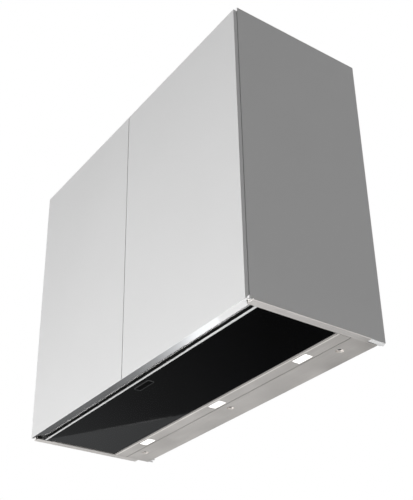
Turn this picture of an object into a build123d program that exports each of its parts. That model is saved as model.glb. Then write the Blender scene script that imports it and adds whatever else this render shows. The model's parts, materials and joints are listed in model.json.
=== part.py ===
"""Hanging kitchen range hood in a two-door cabinet housing, one STEP file per piece.

Millimetres. X runs across the width, -Y is the front with the doors, +Z is up.
The origin is at the bottom centre of the whole hood.
"""
from build123d import *
import os
from math import cos, radians, sin

# ---------------------------------------------------------------- driving dimensions
HOOD_WIDTH = 898.0            # across the steel side rails, the 90 cm class
CABINET_WIDTH = 882.0         # across the side panels
CABINET_DEPTH = 356.0         # door fronts to the rear edges of the side panels
DOOR_HEIGHT = 720.8
DOOR_BOTTOM = 3.2             # height of the door's lower front edge above the lowest face
TOP_REVEAL = 12.0             # carcass showing above the doors
BOARD = 16.0                  # carcass board
SHEET = 1.2                   # folded sheet of the hood

# ---------------------------------------------------------------- cabinet
HALF_CABINET = CABINET_WIDTH / 2
HALF_HOOD = HOOD_WIDTH / 2
FRONT = -CABINET_DEPTH / 2
REAR = CABINET_DEPTH / 2
DOOR_THICKNESS = 9.6
DOOR_GAP = 1.2                # door back to carcass front edge
DOOR_SEAM = 2.2
DOOR_BACK = FRONT + DOOR_THICKNESS
CARCASS_FRONT = DOOR_BACK + DOOR_GAP
CARCASS_BOTTOM = 5.9
CARCASS_TOP = DOOR_BOTTOM + DOOR_HEIGHT + TOP_REVEAL
TOP_UNDERSIDE = CARCASS_TOP - BOARD
HALF_INSIDE = HALF_CABINET - BOARD
BACK_PANEL_FRONT = 165.0
BACK_PANEL_THICKNESS = 4.0
DOOR_TOP = DOOR_BOTTOM + DOOR_HEIGHT

# door pivots: a pin stands in the thickness of the door, close to its outer rear corner
PIVOT_X = HALF_CABINET - 3.2
PIVOT_Y = DOOR_BACK - 5.3
PIVOT_PIN_R = 1.5
PIVOT_BUSH_R = 2.2
PIVOT_FIT = 0.05
PIVOT_DEPTH = 12.0
DOOR_BACK_ROUND = 2.0
BRACKET_THICKNESS = 1.4
BRACKET_INNER = 430.3

# ceiling fixing
HANGER_SPACING_X = 700.0
HANGER_SPACING_Y = 250.0
HANGER_HOLE_R = 4.5
HANGER_BAR_WIDTH = 40.0
HANGER_BAR_THICKNESS = 4.0

# ---------------------------------------------------------------- underside
RAIL_INNER = 430.2            # inner edge of the side rails
RAIL_FRONT = -165.5
RAIL_REAR = 131.0
BAND_FRONT_Y = FRONT + 0.2
BAND_FRONT_Z = 2.0            # lower face of the front profile at its front edge
BAND_RISE = 4.4               # its even rise from there to the intake slot
BAND_SHEET = 0.9
STRIP_REAR = -149.9           # rear edge of the front profile, at the intake slot
STRIP_HALF = RAIL_INNER - 0.2
DOOR_LIFT = BAND_SHEET + 0.3  # door edge above the lower face of the front profile
CORNER_LIFT = 1.1             # more room under the door's outer corner, which turns over the bracket
CORNER_WIDTH = 7.4
RELIEF_Z = 5.9                # top of the pocket in the door over the pivot boss
BOSS_R = 2.7
PIN_FOOT = 3.4                # lower end of the lower pivot pin
TRIM_FRONT = -145.3
TRIM_DEPTH = 4.9
TRIM_HEIGHT = 0.9
TRIM_HALF = 424.6
GLASS_REAR = 54.9
GLASS_HALF = 424.3
GLASS_Z = 1.4
GLASS_THICKNESS = 4.0
LIGHT_FRONT = 55.9
LIGHT_REAR = 93.3
LIGHT_HALF = 429.4
LED_PITCH = 300.5
LED_LENGTH = 42.5
LED_WIDTH = 20.0
LED_Y = 77.8
PLATE_FRONT = 94.2
PLATE_REAR = 161.9
PLATE_EAR = 432.5             # half width of the rear plate behind the side rails
DIMPLE_X = 372.4
DIMPLE_Y = 116.0
DIMPLE_R = 10.5
DIMPLE_DEPTH = 5.4
DIMPLE_WALL_LEAN = 0.8         # the dimple's wall leans in by this much

# ---------------------------------------------------------------- swing-down panel
PANEL_AXIS_Y = 48.0
PANEL_AXIS_Z = 9.0
PANEL_PIN_R = 2.0
TRAY_HALF = 414.0
TRAY_FRONT = -139.3
TRAY_REAR = 52.0
TRAY_SHEET = 1.0
TRAY_TOP = 13.0
BUTTON_LENGTH = 55.0
BUTTON_WIDTH = 13.0
BEZEL_LENGTH = 60.0
BEZEL_WIDTH = 18.0
BEZEL_WALL = 2.0
BUTTON_Y = -120.2

# ---------------------------------------------------------------- hood housing
HOUSING_HALF = 423.0
HOUSING_INSIDE = HOUSING_HALF - SHEET
HOUSING_FRONT = -152.3
HOUSING_REAR = 164.2
HOUSING_BOTTOM = 8.0
HOUSING_TOP = 120.0
COVER_HALF = 175.0
COVER_TOP = 352.0

FILTER_X = 205.0              # centre of each grease filter
FILTER_LENGTH = 400.0
FILTER_FRONT = -135.0
FILTER_REAR = 50.0
FILTER_Z = 30.0
FILTER_THICKNESS = 9.0
FILTER_RIM = 20.0
LATCH_HALF = 25.0

# ---------------------------------------------------------------- blower
FAN_Y = -55.0
FAN_Z = 235.0
FAN_R = 70.0
FAN_HALF = 50.0
FAN_BLADES = 36
SHAFT_R = 3.95
BEARING_BORE = 4.0
BEARING_R = 9.0
MOTOR_R = 44.0
SCROLL_HALF = 60.0
SCROLL_WALL = 2.5
VOLUTE_Y = FAN_Y - 4.0
VOLUTE_Z = FAN_Z - 3.0
VOLUTE_START = 84.0           # radius at the top of the volute
VOLUTE_STEP = 13.0            # growth of the radius per quarter turn
EXIT_WIDTH = 95.0
VOLUTE_END = VOLUTE_START + 2 * VOLUTE_STEP
EXIT_OUTER = VOLUTE_Y + VOLUTE_STEP + VOLUTE_END
EXIT_INNER = EXIT_OUTER - EXIT_WIDTH
DUCT_Y = (EXIT_OUTER + EXIT_INNER) / 2

# ---------------------------------------------------------------- outlet
DUCT_R = 75.0
DUCT_WALL = 0.8
DUCT_BOTTOM = 360.0
DUCT_ABOVE = 35.0
OUTLET_FLANGE = 1.5
COLLAR_R = 74.0
COLLAR_WALL = 2.0
COLLAR_TOP = 400.0
FLAP_R = 71.2
FLAP_Z = 371.0
FLAP_PIN_R = 1.2
FLAP_KNUCKLE_R = 2.4
DUCT_HOLE_R = 79.5
CABLE_X = 250.0
CABLE_Y = 60.0
CABLE_HOLE_R = 10.0
CABLE_BORE_R = 6.0


# ---------------------------------------------------------------- helpers
def block(x0, x1, y0, y1, z0, z1):
    """Box between two corners."""
    middle = Pos((x0 + x1) / 2, (y0 + y1) / 2, (z0 + z1) / 2)
    return middle * Box(abs(x1 - x0), abs(y1 - y0), abs(z1 - z0))


def rod_z(x, y, z0, z1, radius):
    """Upright cylinder."""
    return Pos(x, y, (z0 + z1) / 2) * Cylinder(radius, z1 - z0)


def rod_x(x0, x1, y, z, radius):
    """Cylinder lying along X."""
    return Pos((x0 + x1) / 2, y, z) * Rot(0, 90, 0) * Cylinder(radius, abs(x1 - x0))


def rod_y(x, y0, y1, z, radius):
    """Cylinder lying along Y."""
    return Pos(x, (y0 + y1) / 2, z) * Rot(90, 0, 0) * Cylinder(radius, abs(y1 - y0))


def bar_x(points, x0, x1):
    """Closed (y, z) outline drawn out along X."""
    with BuildSketch(Plane.YZ) as sketch:
        with BuildLine():
            Polyline(*points, close=True)
        make_face()
    return Pos(x0, 0, 0) * extrude(sketch.sketch, x1 - x0)


def bar_y(points, y0, y1):
    """Closed (x, z) outline drawn out along Y."""
    with BuildSketch(Plane.XZ) as sketch:
        with BuildLine():
            Polyline(*points, close=True)
        make_face()
    return Pos(0, y0, 0) * extrude(sketch.sketch, -(y1 - y0))


def rounded_plate(x, y, length, width, corner, z0, z1):
    """Upright prism with rounded corners."""
    with BuildSketch(Plane.XY.offset(z0)) as sketch:
        with Locations((x, y)):
            RectangleRounded(length, width, corner)
    return extrude(sketch.sketch, z1 - z0)


def mirrored(shape):
    """The same piece on the other side of the hood."""
    return shape.mirror(Plane.YZ)


def pairs(*shapes):
    """Pieces and their mirror images, as separate solids."""
    return group([*shapes, *(mirrored(shape) for shape in shapes)])


def group(shapes):
    """Separate solids in one node."""
    return Compound(children=list(shapes))


def sided(name, *shapes):
    """Right pieces as built, left pieces as their mirror images."""
    return {f"right_{name}": group(shapes), f"left_{name}": group(mirrored(shape) for shape in shapes)}


# ---------------------------------------------------------------- cabinet carcass
def housing_screw_places():
    """Where the hood housing is screwed to the side panels, as (y, z)."""
    return [(y, z) for y in (-105.0, 125.0) for z in (62.0, 98.0)]


def side_panel():
    panel = block(HALF_INSIDE, HALF_CABINET, CARCASS_FRONT, REAR, CARCASS_BOTTOM, CARCASS_TOP)
    for y, z in housing_screw_places():
        panel -= rod_x(HALF_INSIDE, HALF_INSIDE + 10.0, y, z, 2.0)
    return panel


def hanger_places():
    return [(sx * HANGER_SPACING_X / 2, sy * HANGER_SPACING_Y / 2) for sx in (-1, 1) for sy in (-1, 1)]


def top_panel():
    panel = block(-HALF_INSIDE, HALF_INSIDE, CARCASS_FRONT, REAR, TOP_UNDERSIDE, CARCASS_TOP)
    panel -= rod_z(0, DUCT_Y, TOP_UNDERSIDE, CARCASS_TOP, DUCT_HOLE_R)
    panel -= rod_z(CABLE_X, CABLE_Y, TOP_UNDERSIDE, CARCASS_TOP, CABLE_HOLE_R)
    for x, y in hanger_places():
        panel -= rod_z(x, y, TOP_UNDERSIDE, CARCASS_TOP, HANGER_HOLE_R)
    return panel


def back_panel():
    rear = BACK_PANEL_FRONT + BACK_PANEL_THICKNESS
    return block(-HALF_INSIDE, HALF_INSIDE, BACK_PANEL_FRONT, rear, CARCASS_BOTTOM, TOP_UNDERSIDE)


def hanger_bars():
    """Steel bars under the top panel that spread the load of the ceiling rods."""
    bars = []
    for side in (-1, 1):
        middle = side * HANGER_SPACING_Y / 2
        bar = block(-HALF_INSIDE + 2, HALF_INSIDE - 2, middle - HANGER_BAR_WIDTH / 2,
                    middle + HANGER_BAR_WIDTH / 2, TOP_UNDERSIDE - HANGER_BAR_THICKNESS, TOP_UNDERSIDE)
        for x in (-HANGER_SPACING_X / 2, HANGER_SPACING_X / 2):
            bar -= rod_z(x, middle, TOP_UNDERSIDE - HANGER_BAR_THICKNESS, TOP_UNDERSIDE, HANGER_HOLE_R)
        bars.append(bar)
    return group(bars)


def corner_blocks():
    """Plastic joining blocks in the upper corners of the carcass."""
    size = 22.0
    blocks = []
    for side in (-1, 1):
        for y in (-70.0, 70.0):
            outline = [(side * HALF_INSIDE, TOP_UNDERSIDE),
                       (side * HALF_INSIDE, TOP_UNDERSIDE - size),
                       (side * (HALF_INSIDE - 6.0), TOP_UNDERSIDE - size),
                       (side * (HALF_INSIDE - size), TOP_UNDERSIDE - 6.0),
                       (side * (HALF_INSIDE - size), TOP_UNDERSIDE)]
            blocks.append(bar_y(outline, y - 17.0, y + 17.0))
    return group(blocks)


# ---------------------------------------------------------------- doors
def band_z(y):
    """Height of the lower face of the front profile at a depth."""
    return BAND_FRONT_Z + BAND_RISE * (y - BAND_FRONT_Y) / (STRIP_REAR - BAND_FRONT_Y)


def pivot_bush_heights():
    return (RELIEF_Z, RELIEF_Z + PIVOT_DEPTH), (DOOR_TOP - PIVOT_DEPTH, DOOR_TOP)


def door():
    """Leaf with a bevelled lower edge that follows the front profile, relieved over the hinge bracket."""
    leaf = block(DOOR_SEAM / 2, HALF_CABINET, FRONT, DOOR_BACK, DOOR_BOTTOM, DOOR_TOP)
    outer = leaf.edges().filter_by(Axis.Z).sort_by(Axis.X)[-2:]
    leaf = fillet(outer.sort_by(Axis.Y)[-1], DOOR_BACK_ROUND)
    leaf = fillet(leaf.edges().filter_by(Axis.Z).sort_by(Axis.Y)[:2], 0.5)
    below = DOOR_BOTTOM - 5.0
    front, back = FRONT - 1.0, DOOR_BACK + 1.0
    for x0, lift in ((0.0, DOOR_LIFT), (HALF_CABINET - CORNER_WIDTH, DOOR_LIFT + CORNER_LIFT)):
        bevel = [(front, below), (back, below), (back, band_z(back) + lift), (front, band_z(front) + lift)]
        leaf -= bar_x(bevel, x0, HALF_CABINET)
    leaf -= rod_z(PIVOT_X, PIVOT_Y, below, RELIEF_Z, BOSS_R + 0.3)
    for z0, z1 in pivot_bush_heights():
        leaf -= rod_z(PIVOT_X, PIVOT_Y, z0, z1, PIVOT_BUSH_R)
    return leaf


def door_fittings():
    """Two pivot bushes in the door's edges and the steel plate that its magnet pulls."""
    fittings = []
    for z0, z1 in pivot_bush_heights():
        bush = rod_z(PIVOT_X, PIVOT_Y, z0, z1, PIVOT_BUSH_R)
        fittings.append(bush - rod_z(PIVOT_X, PIVOT_Y, z0, z1, PIVOT_PIN_R + PIVOT_FIT))
    z = TOP_UNDERSIDE - 9.0
    strike = block(11.0, 53.0, DOOR_BACK, DOOR_BACK + 0.6, z - 6.0, z + 6.0)
    fittings.append(fillet(strike.edges().filter_by(Axis.Y), 3.0))
    return fittings


def lower_pivot_bracket():
    """Plate in line with the front profile under the door corner, then up to the side panel's underside."""
    step = CARCASS_FRONT + BRACKET_THICKNESS
    top = CARCASS_BOTTOM
    boss_top = RELIEF_Z - 0.3
    outline = [(BAND_FRONT_Y, BAND_FRONT_Z), (step, band_z(step)), (step, top - BRACKET_THICKNESS),
               (-118.0, top - BRACKET_THICKNESS), (-118.0, top), (CARCASS_FRONT, top),
               (CARCASS_FRONT, band_z(CARCASS_FRONT) + BAND_SHEET), (BAND_FRONT_Y, BAND_FRONT_Z + BAND_SHEET)]
    bracket = bar_x(outline, BRACKET_INNER, HALF_CABINET - 0.1)
    bracket += rod_z(PIVOT_X, PIVOT_Y, PIN_FOOT - 0.4, boss_top, BOSS_R)
    return bracket - rod_z(PIVOT_X, PIVOT_Y, PIN_FOOT, boss_top, PIVOT_PIN_R)


def upper_pivot_bracket():
    """Angle on the front edge of the side panel, above the door corner."""
    low = DOOR_TOP + 0.4
    flat = block(BRACKET_INNER, HALF_CABINET - 0.1, FRONT + 0.6, CARCASS_FRONT,
                 low, low + BRACKET_THICKNESS)
    leg = block(BRACKET_INNER, HALF_CABINET - 0.1, CARCASS_FRONT - BRACKET_THICKNESS, CARCASS_FRONT,
                low, CARCASS_TOP - 1.0)
    bracket = flat + leg
    return bracket - rod_z(PIVOT_X, PIVOT_Y, low, low + BRACKET_THICKNESS, PIVOT_PIN_R)


def lower_pivot_pin():
    return rod_z(PIVOT_X, PIVOT_Y, PIN_FOOT, RELIEF_Z + PIVOT_DEPTH - 1.0, PIVOT_PIN_R)


def upper_pivot_pin():
    top = DOOR_TOP + 0.4 + BRACKET_THICKNESS
    return rod_z(PIVOT_X, PIVOT_Y, DOOR_TOP - PIVOT_DEPTH + 1.0, top, PIVOT_PIN_R)


def door_magnet():
    """Magnetic catch under the top panel, one for each door."""
    body = block(10.0, 54.0, CARCASS_FRONT + 1.0, CARCASS_FRONT + 18.0, TOP_UNDERSIDE - 16.0, TOP_UNDERSIDE)
    face = block(14.0, 50.0, CARCASS_FRONT + 0.2, CARCASS_FRONT + 1.0, TOP_UNDERSIDE - 13.0,
                 TOP_UNDERSIDE - 5.0)
    return body + face


# ---------------------------------------------------------------- underside frame
def front_profile():
    """Polished folded strip that rises from the door fronts to the slot, with a leg behind the doors."""
    leg_back = CARCASS_FRONT
    leg_front = leg_back - 0.6
    section = [(BAND_FRONT_Y, BAND_FRONT_Z), (STRIP_REAR, band_z(STRIP_REAR)),
               (STRIP_REAR, 16.0), (STRIP_REAR - BAND_SHEET, 16.0),
               (STRIP_REAR - BAND_SHEET, band_z(STRIP_REAR - BAND_SHEET) + BAND_SHEET),
               (leg_back, band_z(leg_back) + BAND_SHEET), (leg_back, 13.5), (leg_front, 13.5),
               (leg_front, band_z(leg_front) + BAND_SHEET), (BAND_FRONT_Y, BAND_FRONT_Z + BAND_SHEET)]
    strip = bar_x(section, -STRIP_HALF, STRIP_HALF)
    for side in (-1, 1):
        strip -= block(side * (HOUSING_INSIDE - 0.3), side * HALF_CABINET, CARCASS_FRONT, 0,
                       CARCASS_BOTTOM - 0.2, 20.0)
    leg = block(-HALF_CABINET, HALF_CABINET, leg_front, leg_back, RELIEF_Z, 13.5)
    return strip + leg


def side_rail():
    """Folded edge rail: a flat land, a short inner upstand and an upstand at its front end."""
    outline = [(RAIL_INNER, 0.0), (HALF_HOOD, 0.0), (HALF_HOOD, SHEET), (RAIL_INNER + SHEET, SHEET),
               (RAIL_INNER + SHEET, 4.4), (RAIL_INNER, 4.4)]
    rail = bar_y(outline, RAIL_FRONT, RAIL_REAR)
    return rail + block(RAIL_INNER, HALF_HOOD, RAIL_FRONT, RAIL_FRONT + SHEET, 0.0, 3.6)


def side_gasket():
    """Black sealing strip between the rail and the underside of the side panel."""
    outline = [(HALF_INSIDE + 0.2, 4.6), (RAIL_INNER + SHEET, 4.6), (RAIL_INNER + SHEET, SHEET),
               (438.0, SHEET), (438.0, CARCASS_BOTTOM), (HALF_INSIDE + 0.2, CARCASS_BOTTOM)]
    return bar_y(outline, -117.5, RAIL_REAR)


def dimple_section(x, y):
    """Dished seat pressed upward round a fixing screw."""
    mouth = DIMPLE_R - 1.4
    outer = [(0, DIMPLE_DEPTH), (DIMPLE_R - DIMPLE_WALL_LEAN, DIMPLE_DEPTH), (DIMPLE_R, SHEET), (DIMPLE_R, 0),
             (mouth, 0), (mouth - DIMPLE_WALL_LEAN, DIMPLE_DEPTH - SHEET), (0, DIMPLE_DEPTH - SHEET)]
    with BuildSketch(Plane.XZ) as sketch:
        with BuildLine():
            Polyline(*outer, close=True)
        make_face()
    return Pos(x, y, 0) * revolve(sketch.sketch, Axis.Z)


def rear_plate():
    plate = block(-RAIL_INNER, RAIL_INNER, PLATE_FRONT, PLATE_REAR, 0, SHEET)
    plate += block(-PLATE_EAR, PLATE_EAR, RAIL_REAR + 0.6, PLATE_REAR, 0, SHEET)
    plate += block(-HOUSING_INSIDE + 0.3, HOUSING_INSIDE - 0.3, PLATE_REAR - SHEET, PLATE_REAR, SHEET, 20.0)
    for x in (-DIMPLE_X, 0.0, DIMPLE_X):
        plate -= rod_z(x, DIMPLE_Y, 0, SHEET, DIMPLE_R - 0.5)
        plate += dimple_section(x, DIMPLE_Y)
        plate -= rod_z(x, DIMPLE_Y, DIMPLE_DEPTH - SHEET, DIMPLE_DEPTH, 2.1)
    return plate


def rear_plate_screws():
    screws = []
    seat = DIMPLE_DEPTH - SHEET
    low = seat - 1.4
    for x in (-DIMPLE_X, 0.0, DIMPLE_X):
        head = rod_z(x, DIMPLE_Y, low, seat, 4.4)
        head = fillet(head.edges().sort_by(Axis.Z)[0], 0.8)
        head -= Pos(x, DIMPLE_Y, low + 0.4) * Box(5.0, 0.9, 0.8)
        head -= Pos(x, DIMPLE_Y, low + 0.4) * Box(0.9, 5.0, 0.8)
        screws.append(head + rod_z(x, DIMPLE_Y, seat, 18.0, 2.1))
    return group(screws)


def light_bar():
    """Brushed bar with three windows, its front edge bevelled towards the glass."""
    section = [(LIGHT_FRONT, SHEET), (LIGHT_FRONT, 1.0), (LIGHT_FRONT + 2.3, 0.0), (LIGHT_REAR, 0.0),
               (LIGHT_REAR, 12.0), (LIGHT_REAR - SHEET, 12.0), (LIGHT_REAR - SHEET, SHEET),
               (63.2, SHEET), (63.2, 14.0), (62.0, 14.0), (62.0, SHEET)]
    bar = bar_x(section, -LIGHT_HALF, LIGHT_HALF)
    for side in (-1, 1):
        bar -= block(side * (HOUSING_INSIDE - 0.3), side * HALF_CABINET, LIGHT_FRONT, LIGHT_REAR, 4.4, 20.0)
    for x in led_places():
        bar -= rounded_plate(x, LED_Y, LED_LENGTH, LED_WIDTH, 1.5, 0, SHEET)
    return bar


def led_places():
    return (-LED_PITCH, 0.0, LED_PITCH)


def led_lenses():
    """Frosted covers that fill the windows from above."""
    lenses = []
    for x in led_places():
        lens = rounded_plate(x, LED_Y, LED_LENGTH - 0.3, LED_WIDTH - 0.3, 1.4, 0.2, SHEET)
        lenses.append(lens + rounded_plate(x, LED_Y, LED_LENGTH + 5, LED_WIDTH + 5, 2.0, SHEET, SHEET + 1.4))
    return group(lenses)


def led_modules():
    """Circuit board and finned heat sink over each lens."""
    modules = []
    base = SHEET + 1.4
    for x in led_places():
        module = block(x - 24, x + 24, LED_Y - 13, LED_Y + 13, base, base + 3.0)
        for fin in range(7):
            y = LED_Y - 12 + fin * 4.0
            module += block(x - 24, x + 24, y - 0.6, y + 0.6, base + 3.0, base + 11.0)
        modules.append(module)
    return group(modules)


# ---------------------------------------------------------------- swing-down panel
def glass_panel():
    glass = block(-GLASS_HALF, GLASS_HALF, TRIM_FRONT + TRIM_DEPTH, GLASS_REAR,
                  GLASS_Z, GLASS_Z + GLASS_THICKNESS)
    return glass - rounded_plate(0, BUTTON_Y, BEZEL_LENGTH, BEZEL_WIDTH, 4.0,
                                 GLASS_Z, GLASS_Z + GLASS_THICKNESS)


def panel_trim():
    """Bright edge strip that wraps the front edge of the glass."""
    rear = TRIM_FRONT + TRIM_DEPTH
    low = GLASS_Z - 0.4
    section = [(TRIM_FRONT, low), (rear, low), (rear, GLASS_Z + GLASS_THICKNESS),
               (TRAY_FRONT, GLASS_Z + GLASS_THICKNESS), (TRAY_FRONT, GLASS_Z + GLASS_THICKNESS + 2.2),
               (TRAY_FRONT - 0.9, GLASS_Z + GLASS_THICKNESS + 2.2), (TRAY_FRONT - 0.9, GLASS_Z + 4.2),
               (rear - 0.9, GLASS_Z + 4.2), (rear - 0.9, low + TRIM_HEIGHT), (TRIM_FRONT, low + TRIM_HEIGHT)]
    return bar_x(section, -TRIM_HALF, TRIM_HALF)


def panel_tray():
    """Black steel pan that carries the glass, with folded edges."""
    floor = GLASS_Z + GLASS_THICKNESS
    tray = block(-TRAY_HALF, TRAY_HALF, TRAY_FRONT, TRAY_REAR, floor, floor + TRAY_SHEET)
    tray += block(-TRAY_HALF, TRAY_HALF, TRAY_FRONT, TRAY_FRONT + TRAY_SHEET, floor, TRAY_TOP)
    for side in (-1, 1):
        outer = side * TRAY_HALF
        wall = block(outer, outer - side * TRAY_SHEET, TRAY_FRONT, TRAY_REAR, floor, TRAY_TOP)
        tray += wall
        tray -= rod_x(outer, outer - side * TRAY_SHEET, PANEL_AXIS_Y, PANEL_AXIS_Z, PANEL_PIN_R)
    for x in (-280.0, -140.0, 140.0, 280.0):
        tray += block(x - 8, x + 8, TRAY_FRONT + 20, TRAY_REAR - 10, floor + TRAY_SHEET, floor + 2.4)
    for x in magnet_places():
        tray += block(x - 14, x + 14, -138.0, -127.0, floor + TRAY_SHEET, 13.8)
    return tray - rounded_plate(0, BUTTON_Y, BEZEL_LENGTH, BEZEL_WIDTH, 4.0, floor, floor + TRAY_SHEET)


def panel_hinge_pins():
    pins = []
    for side in (-1, 1):
        inner = side * (TRAY_HALF - 5.0)
        outer = side * 421.3
        pin = rod_x(inner, outer, PANEL_AXIS_Y, PANEL_AXIS_Z, PANEL_PIN_R)
        collar = rod_x(side * (TRAY_HALF - 3.0), side * (TRAY_HALF - TRAY_SHEET), PANEL_AXIS_Y,
                       PANEL_AXIS_Z, PANEL_PIN_R + 0.5)
        pins.append(pin + collar)
    return group(pins)


def panel_hinge_bracket():
    """Bearing block of the panel hinge, rounded so that the glass can swing past it."""
    reach = 3.3
    x0 = TRAY_HALF + 1.6
    x1 = HOUSING_INSIDE
    body = block(x0, x1, PANEL_AXIS_Y - 12, PANEL_AXIS_Y, PANEL_AXIS_Z - 3.1, 36.0)
    body += block(x0, x1, PANEL_AXIS_Y, PANEL_AXIS_Y + reach, PANEL_AXIS_Z, 36.0)
    body += rod_x(x0, x1, PANEL_AXIS_Y, PANEL_AXIS_Z, reach)
    return body - rod_x(x0, x1, PANEL_AXIS_Y, PANEL_AXIS_Z, PANEL_PIN_R + 0.06)


def magnet_places():
    return (-320.0, 320.0)


def panel_magnets():
    """Magnets that hold the closed panel up."""
    return group(block(x - 15, x + 15, -138.4, -126.0, 14.2, 24.0) for x in magnet_places())


def control_bezel():
    """Slim frame set into the glass round the button."""
    low = GLASS_Z - 0.5
    high = GLASS_Z + GLASS_THICKNESS + TRAY_SHEET
    frame = rounded_plate(0, BUTTON_Y, BEZEL_LENGTH - 0.2, BEZEL_WIDTH - 0.2, 3.9, low, high)
    return frame - rounded_plate(0, BUTTON_Y, BEZEL_LENGTH - 0.2 - 2 * BEZEL_WALL,
                                 BEZEL_WIDTH - 0.2 - 2 * BEZEL_WALL, 2.0, low, high)


def control_button():
    """Push bar, pressed upward into its frame."""
    low = GLASS_Z - 0.1
    cap = rounded_plate(0, BUTTON_Y, BUTTON_LENGTH, BUTTON_WIDTH, 1.8, low, low + 3.2)
    return cap + rod_z(0, BUTTON_Y, low + 3.2, low + 6.4, 3.0)


def control_module():
    """Switch housing on the tray behind the button."""
    base = GLASS_Z + GLASS_THICKNESS + TRAY_SHEET
    case = rounded_plate(0, BUTTON_Y, 84.0, 26.0, 3.0, base, base + 9.0)
    case -= rounded_plate(0, BUTTON_Y, BUTTON_LENGTH + 1.0, BUTTON_WIDTH + 1.0, 2.0, base, base + 1.6)
    return case - rod_z(0, BUTTON_Y, base, base + 5.0, 3.4)


# ---------------------------------------------------------------- hood housing
def hood_housing():
    """Steel box open to the filters below, with an opening to the blower above."""
    inner_front = HOUSING_FRONT + SHEET
    inner_rear = HOUSING_REAR - SHEET
    box = block(-HOUSING_HALF, HOUSING_HALF, HOUSING_FRONT, HOUSING_REAR, HOUSING_BOTTOM, HOUSING_TOP)
    box -= block(-HOUSING_INSIDE, HOUSING_INSIDE, inner_front, inner_rear,
                 HOUSING_BOTTOM, HOUSING_TOP - SHEET)
    box -= block(-COVER_HALF + 12, COVER_HALF - 12, inner_front + 10, inner_rear - 10,
                 HOUSING_TOP - SHEET, HOUSING_TOP)
    for side in (-1, 1):
        outer = side * HOUSING_HALF
        inner = side * HOUSING_INSIDE
        box -= block(outer, inner, PANEL_AXIS_Y - 14, 62.0, HOUSING_BOTTOM, 24.0)
        for y, z in housing_screw_places():
            box -= rod_x(outer, inner, y, z, 2.0)
    return box


def housing_screws():
    screws = []
    for side in (-1, 1):
        seat = side * HOUSING_INSIDE
        for y, z in housing_screw_places():
            head = rod_x(seat - side * 3.0, seat, y, z, 5.0)
            screws.append(head + rod_x(seat, side * (HALF_INSIDE + 9.5), y, z, 2.0))
    return group(screws)


def filter_seat():
    """Frame above the filters with a hooked rear edge and a slotted front flange."""
    top = FILTER_Z + FILTER_THICKNESS
    seat = block(-HOUSING_INSIDE, HOUSING_INSIDE, -139.6, 58.0, top, top + SHEET)
    for x in (-FILTER_X, FILTER_X):
        seat -= block(x - 186, x + 186, FILTER_FRONT + 14, FILTER_REAR - 12, top, top + SHEET)
    seat += block(-400.0, 400.0, -139.6, -138.4, 22.0, top)
    for x in (-FILTER_X, FILTER_X):
        seat -= block(x - LATCH_HALF - 0.8, x + LATCH_HALF + 0.8, -139.6, -138.4, 31.4, 36.6)
    seat += block(-400.0, 400.0, FILTER_REAR + 0.5, FILTER_REAR + 0.5 + SHEET, FILTER_Z - SHEET, top)
    seat += block(-400.0, 400.0, FILTER_REAR - 5.0, FILTER_REAR + 0.5 + SHEET, FILTER_Z - SHEET, FILTER_Z)
    return seat


def filter_frame():
    """Right filter frame, with a tunnel for its latch in the front rail."""
    x0 = FILTER_X - FILTER_LENGTH / 2
    x1 = FILTER_X + FILTER_LENGTH / 2
    top = FILTER_Z + FILTER_THICKNESS
    frame = block(x0, x1, FILTER_FRONT, FILTER_REAR, FILTER_Z, top)
    frame -= block(x0 + FILTER_RIM, x1 - FILTER_RIM, FILTER_FRONT + 24, FILTER_REAR - FILTER_RIM, FILTER_Z, top)
    frame -= block(FILTER_X - LATCH_HALF - 0.3, FILTER_X + LATCH_HALF + 0.3, FILTER_FRONT,
                   FILTER_FRONT + 20, FILTER_Z + 2.0, FILTER_Z + 6.0)
    return frame - block(FILTER_X - 12.3, FILTER_X + 12.3, FILTER_FRONT + 4, FILTER_FRONT + 18,
                         FILTER_Z, FILTER_Z + 2.0)


def filter_mesh():
    """Pleated aluminium mesh, as wide as the opening of its frame."""
    x0 = FILTER_X - FILTER_LENGTH / 2 + FILTER_RIM
    x1 = FILTER_X + FILTER_LENGTH / 2 - FILTER_RIM
    y0 = FILTER_FRONT + 24
    y1 = FILTER_REAR - FILTER_RIM
    pleats = 24
    pitch = (x1 - x0) / pleats
    low = FILTER_Z + 1.5
    high = FILTER_Z + FILTER_THICKNESS - 3.0
    lower = []
    for index in range(pleats):
        lower += [(x0 + index * pitch, low), (x0 + (index + 0.5) * pitch, high)]
    lower.append((x1, low))
    upper = [(x, z + 1.2) for x, z in reversed(lower)]
    return bar_y(lower + upper, y0, y1)


def filter_latch():
    """Sliding bolt with a finger tab."""
    bolt = block(FILTER_X - LATCH_HALF, FILTER_X + LATCH_HALF, -140.6, -123.0, FILTER_Z + 2.3, FILTER_Z + 5.7)
    tab = block(FILTER_X - 12, FILTER_X + 12, -130.5, -127.0, FILTER_Z - 6.0, FILTER_Z + 2.3)
    return bolt + fillet(tab.edges().filter_by(Axis.Y).sort_by(Axis.Z)[:2], 1.5)


# ---------------------------------------------------------------- blower
def blower_cover():
    """Upper steel box round the blower, open below, with the outlet hole on top."""
    cover = block(-COVER_HALF, COVER_HALF, HOUSING_FRONT, HOUSING_REAR, HOUSING_TOP, COVER_TOP)
    cover -= block(-COVER_HALF + SHEET, COVER_HALF - SHEET, HOUSING_FRONT + SHEET, HOUSING_REAR - SHEET,
                   HOUSING_TOP, COVER_TOP - SHEET)
    for side in (-1, 1):
        foot = block(side * COVER_HALF, side * (COVER_HALF + 14), HOUSING_FRONT + 4, HOUSING_REAR - 4,
                     HOUSING_TOP, HOUSING_TOP + SHEET)
        cover += foot
    return cover - rod_z(0, DUCT_Y, COVER_TOP - SHEET, COVER_TOP, COLLAR_R - COLLAR_WALL)


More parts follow.
